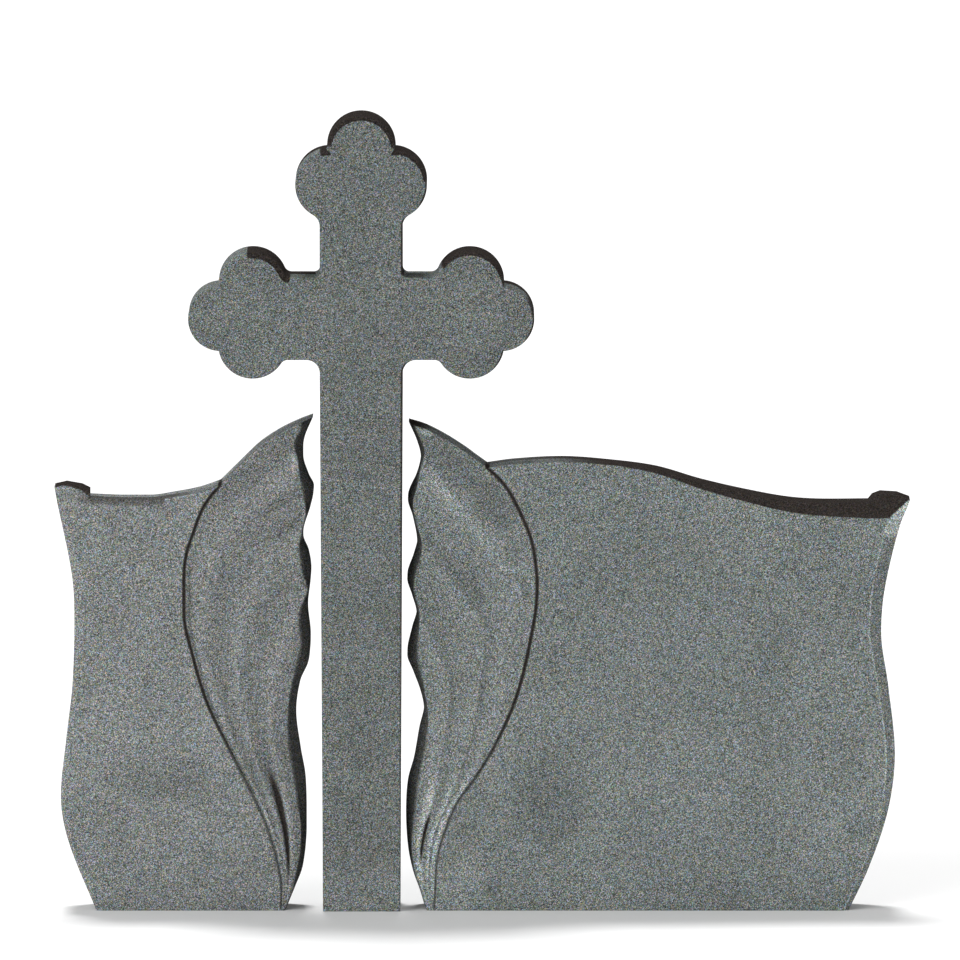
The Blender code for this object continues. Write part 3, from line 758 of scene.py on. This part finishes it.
    def edge_return(self, points):
        """The slope from the wing's arris back to the outline, with painted shade on it."""
        out, up = points[:, 0], points[:, 1]
        inner, arris = self.edge_at("inner_edge", up), self.arris_at(up)
        share = part_way(out, inner, arris)
        least, more = RETURN_SHADE
        shown = least + more * ramp(arris - inner, *RETURN_WIDTHS)
        return samples(points, depth=RETURN_DEPTH + (WING_SINK - RETURN_DEPTH) * share,
                       across=1 - part_way(up, FAN_FOOT, self.fan_top),
                       rise=part_way(up, 0, FAN_FOOT), carved=share,
                       dark=shown * ramp(1 - share, 0.0, RETURN_BLUR))

    def bordering(self, points, zones):
        """Rows on or near the outline, each by what it borders."""
        rows = self.face(points)
        wing = zones == "wing"
        rows[wing] = samples(points[wing], depth=WING_SINK, rise=1.0, carved=1.0)
        foot = zones == "foot"
        rows[foot] = samples(points[foot], depth=WING_SINK)
        sloped = (wing | foot) & (points[:, 0] < self.arris_at(points[:, 1]))
        rows[sloped] = self.edge_return(points[sloped])

        # The groove runs out through the top edge, with painted shade in its notch
        cut = self.groove_end(points)
        rows[:, DEPTH] += cut * GROOVE_END_DEPTH * GROOVE_DEPTH
        rows[:, DARK] = np.maximum(rows[:, DARK], cut)
        return rows

    def wing(self):
        """The fluted surface between groove, foot, inner edge and fan, as a grid of rows."""
        border_line = np.concatenate([self.lines["groove"], self.lines["wing_top"][1:]])
        groove_length = line_length(self.lines["groove"])
        length = line_length(border_line)
        rows = stepped(0.0, 1.0, ROW_STEP / length)
        shares = rows * (1 - ARRIS_SETBACK / length)
        step = 0.001
        border = smooth_line(border_line, shares)
        along = (smooth_line(border_line, np.minimum(shares + step, 1.0))
                 - smooth_line(border_line, np.maximum(shares - step, 0.0)))
        along /= np.hypot(*along.T)[:, None]
        outward = pairs(along[:, 1], -along[:, 0])
        half = (GROOVE_FOOT_HALF_WIDTH + (GROOVE_HALF_WIDTH - GROOVE_FOOT_HALF_WIDTH)
                * ramp(rows, 0.0, GROOVE_WIDENS))
        grooved = shares < groove_length / length
        inside = border - outward * np.where(grooved, half, 0.0)[:, None]
        self.fan_top = inside[-1, 1]

        # Each row runs from the groove to the arris, and the last one along the fan
        low = pairs(self.arris_at(FAN_FOOT * rows), FAN_FOOT * rows)
        fan_end = np.array([self.arris_at(self.fan_top), self.fan_top])
        grid = []
        for rise, first, last in zip(rows, inside, low):
            share = min(COLUMN_STEP / hypot(*(last - first)), MOST_COLUMN_SHARE)
            across = stepped(0.0, 1.0, share)
            t = across[:, None]
            fan_up = self.fan_top + (FAN_FOOT - self.fan_top) * across
            fan = pairs(self.arris_at(fan_up), fan_up)
            fan += (inside[-1] - fan_end) * ramp(1 - t, FAN_MEETS, 1.0)
            line = (1 - t) * first + t * last + rise * (fan - (1 - t) * inside[-1] - t * low[-1])
            grid.append(samples(line, depth=WING_SINK, across=across, rise=rise, carved=1.0))

        # Painted shade along the groove's bottom and on its lips
        least, more = GROOVE_SHADE
        shade = (least + more * ramp(rows, *GROOVE_DARKENS))[grooved]
        lip = samples((border + outward * half[:, None])[grooved], dark=LIP_SHADE * shade)
        bottom = samples(border[grooved], depth=GROOVE_DEPTH, dark=shade)
        near_lip = samples((border + outward * (half + LIP_CLEAR)[:, None])[grooved])
        inner = samples(inside[grooved], depth=WING_SINK, rise=rows[grooved], carved=1.0,
                        dark=LIP_SHADE * shade)
        return grid, [lip, bottom, inner], near_lip

    def build(self):
        """The stele as a mesh object."""
        outline, zones, tone, far = self.outline()
        grid, grooves, near_lip = self.wing()
        edge = round_edge(STELE_EDGE_ROUND, (0, 30, 60, 90))
        rim_points = inset(outline, edge[0][0])
        rim = self.bordering(rim_points, zones)

        # Loose points: the wing, the slope behind its arris, the bevels and the flat face
        loose = [near_lip]
        arris_top = self.lines["arris"][-1, 1]
        up = stepped(0.001, arris_top, CREST_STEP)
        inner, arris = self.edge_at("inner_edge", up), self.arris_at(up)
        for beyond, sink in ((ARRIS_ROUND, 0.0), (0.0, ARRIS_SINK), (-ARRIS_ROUND, 0.0)):
            loose.append(self.edge_return(pairs(arris + beyond, up)))
            loose[-1][:, DEPTH] += sink
        for share in RETURN_ROWS:
            loose.append(self.edge_return(pairs(inner + (arris - inner) * share, up)))
        for line in grid:
            clear = line[:, 0] > self.arris_at(line[:, 1]) + ARRIS_ROUND * ARRIS_CLEAR
            loose.append(line[clear | (line[:, 1] > arris_top)])
        loose.append(self.face(self.face_points()))

        margin = STELE_EDGE_ROUND * RIM_MARGIN
        lines = [line[depth_inside(line[:, :2], rim_points) > margin] for line in grooves]
        front = filled(rim, lines, np.concatenate(loose))
        rings = []
        for share, (inside, depth) in zip(EDGE_TONES, edge[1:]):
            rows = self.bordering(inset(outline, inside), zones)
            rows[:, DEPTH] = np.maximum(rows[:, DEPTH], rim[:, DEPTH] + depth)
            rows[:, DARK] = rim[:, DARK] + (tone - rim[:, DARK]) * share
            rings.append(rows)
        sides = side_rings(outline, rows[:, DEPTH] + STELE_EDGE_ROUND, self.thickness,
                           STELE_EDGE_ROUND, tone, far)
        sides[0][:, CARVING] = rows[:, CARVING]
        rings += sides
        for share, (inside, depth) in zip(reversed(EDGE_TONES), reversed(edge[1:])):
            rings.append(samples(inset(outline, inside), depth=self.thickness - depth,
                                 dark=far * share))
        support = samples(inset(outline, edge[0][0] + BACK_MARGIN))
        back = filled(samples(rim_points), [], support)
        back[0][:, DEPTH] = self.thickness
        return stone(self.node + "_stone", front, rings, back, self.side, self.near, self.front)

    def face_points(self):
        """Points over the flat face: a coarse grid, and rows along the bevels and the edges."""
        width = self.lines["ear"][-1, 0]
        out = stepped(self.lines["top_edge"][0, 0], width, CREST_STEP)
        top, height = self.top_bevel(out)
        crease = top - np.maximum(height, 0.0)
        rows = [(out, crease - below) for below in CREASE_ROWS]
        rows += [(out, crease + (top - crease) * share) for share in TOP_BEVEL_ROWS]
        rows.append((out, top - TOP_EDGE_ROW))
        up = stepped(0.002, self.high, CREST_STEP)
        edge, bevel = self.side_bevel(up)
        rows += [(edge - bevel - inside, up) for inside in CREASE_ROWS]
        rows += [(edge - bevel * share, up) for share in SIDE_BEVEL_ROWS]
        whole = grid_points((FACE_STEP, width), (FACE_STEP, self.high + FACE_STEP), FACE_STEP)
        inwards, down, over = EAR_REACH
        ear = grid_points((width - inwards, width), (self.high - down, self.high + over), EAR_STEP)
        points = np.concatenate([whole, *(pairs(*row) for row in rows), ear])

        # Nothing of this falls in the wing
        groove = stepped_line(self.lines["groove"])
        border = np.interp(points[:, 1], groove[:, 1], groove[:, 0])
        end = self.lines["groove"][-1]
        above = (points[:, 1] > end[1]) & (points[:, 0] < end[0])
        return points[(points[:, 0] > border + LIP_MARGIN) & ~above]


# Materials and the flutes' rule

def plain_material(name):
    """A material without shine, and its shader."""
    material = bpy.data.materials.new(name)
    material.use_nodes = True
    shader = material.node_tree.nodes["Principled BSDF"]
    shader.inputs["Specular IOR Level"].default_value = 0.0
    return material, shader


def feed(tree, socket, value):
    """Links a value to a node's socket, or sets it there."""
    if isinstance(value, Value):
        tree.links.new(value.socket, socket)
    else:
        socket.default_value = value


class Value:
    """A node's socket, so that its maths is written as Python."""

    def __init__(self, tree, socket):
        self.tree = tree
        self.socket = socket

    def maths(self, operation, *values):
        """A maths node with these values."""
        node = self.tree.nodes.new("ShaderNodeMath")
        node.operation = operation
        for socket, value in zip(node.inputs, values):
            feed(self.tree, socket, value)
        return Value(self.tree, node.outputs[0])

    def __add__(self, other):
        return self.maths("ADD", self, other)

    def __sub__(self, other):
        return self.maths("SUBTRACT", self, other)

    def __rsub__(self, other):
        return self.maths("SUBTRACT", other, self)

    def __mul__(self, other):
        return self.maths("MULTIPLY", self, other)

    def __truediv__(self, other):
        return self.maths("DIVIDE", self, other)

    def __abs__(self):
        return self.maths("ABSOLUTE", self)

    __radd__ = __add__
    __rmul__ = __mul__


class Tree:
    """A node tree that is built one node at a time."""

    def __init__(self, tree):
        self.tree = tree

    def node(self, kind, settings=None, inputs=None, output=None):
        """One node: its settings first, then the values or links of its sockets."""
        node = self.tree.nodes.new(kind)
        for key, value in (settings or {}).items():
            if key == "stops":
                stops = node.color_ramp.elements
                for element, (position, _) in zip(stops, value):
                    element.position = position
                for position, _ in value[2:]:
                    stops.new(position)
                for element, (_, shade) in zip(stops, value):
                    element.color = (shade,) * 3 + (1.0,)
            else:
                setattr(node, key, value)
        sockets = {s.identifier: s for s in node.inputs}
        sockets |= {s.name: s for s in node.inputs if s.enabled}
        for key, value in (inputs or {}).items():
            feed(self.tree, sockets[key], value)
        outputs = {s.identifier: s for s in node.outputs} | {s.name: s for s in node.outputs}
        return Value(self.tree, outputs[output] if output else node.outputs[0])

    def split(self, kind, key, value):
        """The outputs of a node that takes one value apart."""
        node = self.node(kind, inputs={key: value}).socket.node
        return [Value(self.tree, part) for part in node.outputs]

    def noise(self, place, scale, detail, roughness):
        """Smooth noise."""
        return self.node("ShaderNodeTexNoise", {"noise_dimensions": "3D"},
                         {"Vector": place, "Scale": scale, "Detail": detail,
                          "Roughness": roughness})

    def colour(self, red, green, blue):
        """A colour from its three parts."""
        return self.node("ShaderNodeCombineColor", {}, {"Red": red, "Green": green, "Blue": blue})

    def smoothstep(self, value, start, end):
        """Rises smoothly from 0 at start to 1 at end."""
        return self.node("ShaderNodeMapRange", {"interpolation_type": "SMOOTHSTEP"},
                         {"Value": value, "From Min": start, "From Max": end})

    def colour_mix(self, factor, a, b, blend="MIX"):
        """One colour mixed with another."""
        return self.node("ShaderNodeMix", {"data_type": "RGBA", "blend_type": blend},
                         {"Factor_Float": factor, "A_Color": a, "B_Color": b}, "Result_Color")

    def layered(self, colour, *layers):
        """A colour multiplied by one layer after another, each with its share."""
        colour += (1.0,)
        for share, layer in layers:
            colour = self.colour_mix(share, colour, layer, "MULTIPLY")
        return colour


def granite(name, honed, painted_foot_light, painted_strokes=()):
    """Fine grey granite: honed where the dark attribute is 0; where it is 1, dark polished stone
    that also stands for painted shade.
    """
    material, shader = plain_material(name)
    tree = Tree(material.node_tree)
    place = tree.node("ShaderNodeTexCoord", output="Object")

    # The grains, some warmer and some cooler
    grains = []
    tints = []
    for scale, stops in GRAINS:
        cell = tree.node("ShaderNodeTexVoronoi", {"feature": "F1"},
                         {"Vector": place, "Scale": scale}, "Color")
        first, second, third = tree.split("ShaderNodeSeparateColor", "Color", cell)
        grains.append(tree.node("ShaderNodeValToRGB", {"stops": stops}, {"Fac": first}))
        tints.append(tree.colour((second - 0.5) * WARM_GRAINS + 1.0, 1.0,
                                 (third - 0.5) * COOL_GRAINS + 1.0))

    # Clouds all over, the pale attribute's painted light and shade, and on the front marks, some of
    # them painted light, and strokes of painted light and shade
    tone = 1.0
    for strength, *noise in CLOUDS:
        tone = (tree.noise(place, *noise) - 0.5) * strength + tone
    tone = tone * (tree.node("ShaderNodeAttribute", {"attribute_name": "pale"}, {}, "Fac") + 1.0)
    x, y, z = tree.split("ShaderNodeSeparateXYZ", "Vector", place)
    on_front = tree.smoothstep(y, *FRONT_ONLY)
    for *measures, paler in MARKS:
        centre, height, half_width, half_height = np.array(measures) / 1000
        across, up = (x - centre) / half_width, (z - height) / half_height
        mark = 1 - tree.smoothstep(across * across + up * up, *MARK_FADES)
        tone = tone * (mark * on_front * paler + 1.0)
    for *measures, paler in painted_strokes:
        x_from, z_from, x_to, z_to, half_width = np.array(measures) / 1000
        reach = hypot(x_to - x_from, z_to - z_from)
        along_x, along_z = (x_to - x_from) / reach, (z_to - z_from) / reach
        along = (x - x_from) * along_x + (z - z_from) * along_z
        beside = ((x - x_from) * along_z - (z - z_from) * along_x) / half_width
        beyond = (along - reach / 2) / (reach / 2 + half_width)
        mark = ((1 - tree.smoothstep(beside * beside, 0.0, 1.0))
                * (1 - tree.smoothstep(beyond * beyond, *STROKE_FADES)))
        tone = tone * (mark * on_front * paler + 1.0)
    # Painted light: the foot paler, against the shade near the floor
    tone = tone * (tree.smoothstep(z, *FOOT_HEIGHTS) * painted_foot_light + 1.0)

    stone_colour = tree.layered(honed, (1.0, grains[0]), (FINE_SHARE, grains[1]),
                                (1.0, tints[0]), (1.0, tints[1]),
                                (1.0, tree.colour(tone, tone, tone)))
    # Dark polished stone, which is also painted shade where the dark attribute puts it
    dark_colour = tree.layered(POLISH_AND_SHADE, (POLISH_AND_SHADE_GRAINS, grains[0]),
                               (POLISH_AND_SHADE_TINT, tints[0]))
    dark = tree.node("ShaderNodeAttribute", {"attribute_name": "dark"}, {}, "Fac")
    mask = tree.smoothstep(dark, *POLISH_AND_SHADE_FROM)
    bump = tree.node("ShaderNodeBump", {}, {"Strength": PIT_STRENGTH, "Distance": PIT_DEPTH,
                                            "Height": tree.noise(place, *PITS)})
    for key, value in (("Base Color", tree.colour_mix(mask, stone_colour, dark_colour)),
                       ("Roughness", HONED_ROUGHNESS - mask * POLISHED_SMOOTHER),
                       ("Normal", bump)):
        feed(material.node_tree, shader.inputs[key], value)
    return material


def flute_tree(relief, creases):
    """Sinks a wing's surface in waves across its breadth and in creases above its foot, and paints
    light on its ridges and shade in its hollows and creases.
    """
    group = bpy.data.node_groups.new("flutes", "GeometryNodeTree")
    sizes = {"Flute Depth": FLUTE_DEPTH, "Foot Flute Depth": FOOT_FLUTE_DEPTH,
             "Spacing": FLUTE_SPACING, "First Ridge": FIRST_RIDGE, "First Slope": FIRST_SLOPE,
             **dict(zip(RELIEF_SIZES, relief))}
    for number, crease in enumerate(creases, start=1):
        for key, value in zip(CREASE_SIZES, crease):
            sizes[f"Crease {number} {key}"] = value
    for key, way, kind in (("Geometry", "INPUT", "Geometry"),
                           *((key, "INPUT", "Float") for key in sizes),
                           ("Stone", "INPUT", "Material"), ("Geometry", "OUTPUT", "Geometry")):
        group.interface.new_socket(key, in_out=way, socket_type="NodeSocket" + kind)
    tree = Tree(group)
    given = group.nodes.new("NodeGroupInput")
    size = {key: Value(group, given.outputs[key]) for key in (*sizes, "Geometry", "Stone")}
    across, rise, carved, dark, pale = [
        tree.node("GeometryNodeInputNamedAttribute", {"data_type": "FLOAT"}, {"Name": key},
                  "Attribute") for key in FIELDS]

    turn = (across - size["First Ridge"]) / size["Spacing"] * (2 * pi)
    wave = (1 - turn.maths("COSINE", turn)) * 0.5
    deeper = tree.smoothstep(rise, size["Deepen From"], size["Deepen To"])
    depth = size["Foot Flute Depth"] + (size["Flute Depth"] - size["Foot Flute Depth"]) * deeper
    sloping = tree.smoothstep(across, 0.0, size["First Slope"])
    depth = depth * wave * sloping
    position = tree.node("GeometryNodeInputPosition")
    up = tree.split("ShaderNodeSeparateXYZ", "Vector", position)[2]
    above = tree.smoothstep(up, *FOOT_TONE)
    at_foot = (1 - above) * (tree.smoothstep(up, *FOOT_TONE_GROWS) * (1 - GROUND_TONE)
                             + GROUND_TONE)
    tone = size["Relief Tone"] * above + size["Foot Relief Tone"] * at_foot
    paler = size["Wing Paler"] * above + size["Foot Paler"] * at_foot
    # Painted light on the ridges and painted shade in the hollows, and the wing's paler tone
    pale = pale + ((0.5 - wave) * tone * sloping + paler) * carved
    for number in range(1, len(creases) + 1):
        part = {key: size[f"Crease {number} {key}"] for key in CREASE_SIZES}
        beside = abs(across - part["Place"]) / part["Half Width"]
        middle = (part["From"] + part["To"]) * 0.5
        along = abs(rise - middle) / (part["To"] - part["From"]) * 2.0
        sharp = beside.maths("MAXIMUM", 1 - beside, 0.0)
        fading = 1 - tree.smoothstep(along, *CREASE_FADES)
        depth = depth + part["Depth"] * sharp * fading
        # Painted shade in the crease
        dark = dark + part["Shade"] * sharp * fading * carved

    back = tree.node("ShaderNodeCombineXYZ", inputs={"Y": depth * carved})
    geometry = tree.node("GeometryNodeSetPosition", {},
                         {"Geometry": size["Geometry"], "Offset": back})
    for key, value in (("dark", dark), ("pale", pale)):
        geometry = tree.node("GeometryNodeStoreNamedAttribute",
                             {"data_type": "FLOAT", "domain": "POINT"},
                             {"Geometry": geometry, "Name": key, "Value": value})
    geometry = tree.node("GeometryNodeRealizeInstances", {}, {"Geometry": geometry})
    geometry = tree.node("GeometryNodeSetMaterial", {},
                         {"Geometry": geometry, "Material": size["Stone"]})
    result = group.nodes.new("NodeGroupOutput")
    group.links.new(geometry.socket, result.inputs["Geometry"])
    return group, sizes


def carve(piece, group, sizes, material):
    """Runs the flutes' rule on a stele and keeps the result as its plain mesh."""
    modifier = piece.modifiers.new("flutes", "NODES")
    modifier.node_group = group
    given = {**sizes, "Stone": material}
    for item in group.interface.items_tree:
        if item.name in given:
            modifier[item.identifier] = given[item.name]
    bpy.context.view_layer.update()
    evaluated = piece.evaluated_get(bpy.context.evaluated_depsgraph_get())
    mesh = bpy.data.meshes.new_from_object(evaluated)
    piece.modifiers.remove(modifier)
    piece.data = mesh
    mesh.name = piece.name
    return piece


# The studio

def make_floor():
    """A plain pale floor that reaches past the frame."""
    mesh = bpy.data.meshes.new("floor")
    corners = [(x * FLOOR_REACH, y * FLOOR_REACH, 0)
               for x, y in ((-1, -1), (1, -1), (1, 1), (-1, 1))]
    mesh.from_pydata(corners, [], [(0, 1, 2, 3)])
    floor = add("floor", mesh)
    material, shader = plain_material("pale_floor")
    shader.inputs["Base Color"].default_value = FLOOR_COLOUR
    shader.inputs["Roughness"].default_value = 1.0
    mesh.materials.append(material)


def make_light(name, towards, strength, softness):
    """Even light from one direction, with soft shadows."""
    data = bpy.data.lights.new(name, "SUN")
    data.energy = strength
    data.angle = softness
    add(name, data).rotation_euler = (-Vector(towards)).to_track_quat("-Z", "Y").to_euler()


def make_world(strength):
    """Even pale light from all round."""
    world = bpy.data.worlds.new("studio")
    world.use_nodes = True
    ground = world.node_tree.nodes["Background"]
    ground.inputs["Color"].default_value = (1.0, 1.0, 1.0, 1.0)
    ground.inputs["Strength"].default_value = strength
    scene.world = world


def make_camera():
    """The photograph's view: nearly square on, from a little above."""
    aim = Vector(((FRAME_PIXELS / 2 - CROSS_AXIS_PIXEL) * PIXEL, 0.0,
                  (GROUND_PIXEL - FRAME_PIXELS / 2) * PIXEL))
    data = bpy.data.cameras.new("camera")
    data.sensor_width = SENSOR
    data.lens = SENSOR * CAMERA_DISTANCE / (FRAME_PIXELS * PIXEL)
    data.clip_end = 8 * CAMERA_DISTANCE
    camera = add("camera", data)
    back = Vector((0.0, -cos(CAMERA_ELEVATION), sin(CAMERA_ELEVATION)))
    camera.location = aim + back * CAMERA_DISTANCE
    camera.rotation_euler = (pi / 2 - CAMERA_ELEVATION, 0.0, 0.0)
    scene.camera = camera


make_camera()
make_floor()
make_world(WORLD_STRENGTH)
for light in LIGHTS:
    make_light(*light)
scene.view_settings.view_transform = "Standard"

cross = make_cross()
cross.data.materials.append(granite("granite_of_cross", *CROSS_STONE))
left = carve(Stele("left_stele", -1, LEFT_DRAWING, LEFT_BEVELS, LEFT_TONES).build(),
             *flute_tree(LEFT_RELIEF, LEFT_CREASES),
             granite("granite_of_left_stele", *LEFT_STONE, PAINTED_RELIEF_STROKES))
right = carve(Stele("right_stele", 1, RIGHT_DRAWING, RIGHT_BEVELS, RIGHT_TONES).build(),
              *flute_tree(RIGHT_RELIEF, RIGHT_CREASES),
              granite("granite_of_right_stele", *RIGHT_STONE, PAINTED_RELIEF_STROKES))
for piece, node in ((cross, "cross"), (left, "left_stele"), (right, "right_stele")):
    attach(piece, "root")
    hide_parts(node)
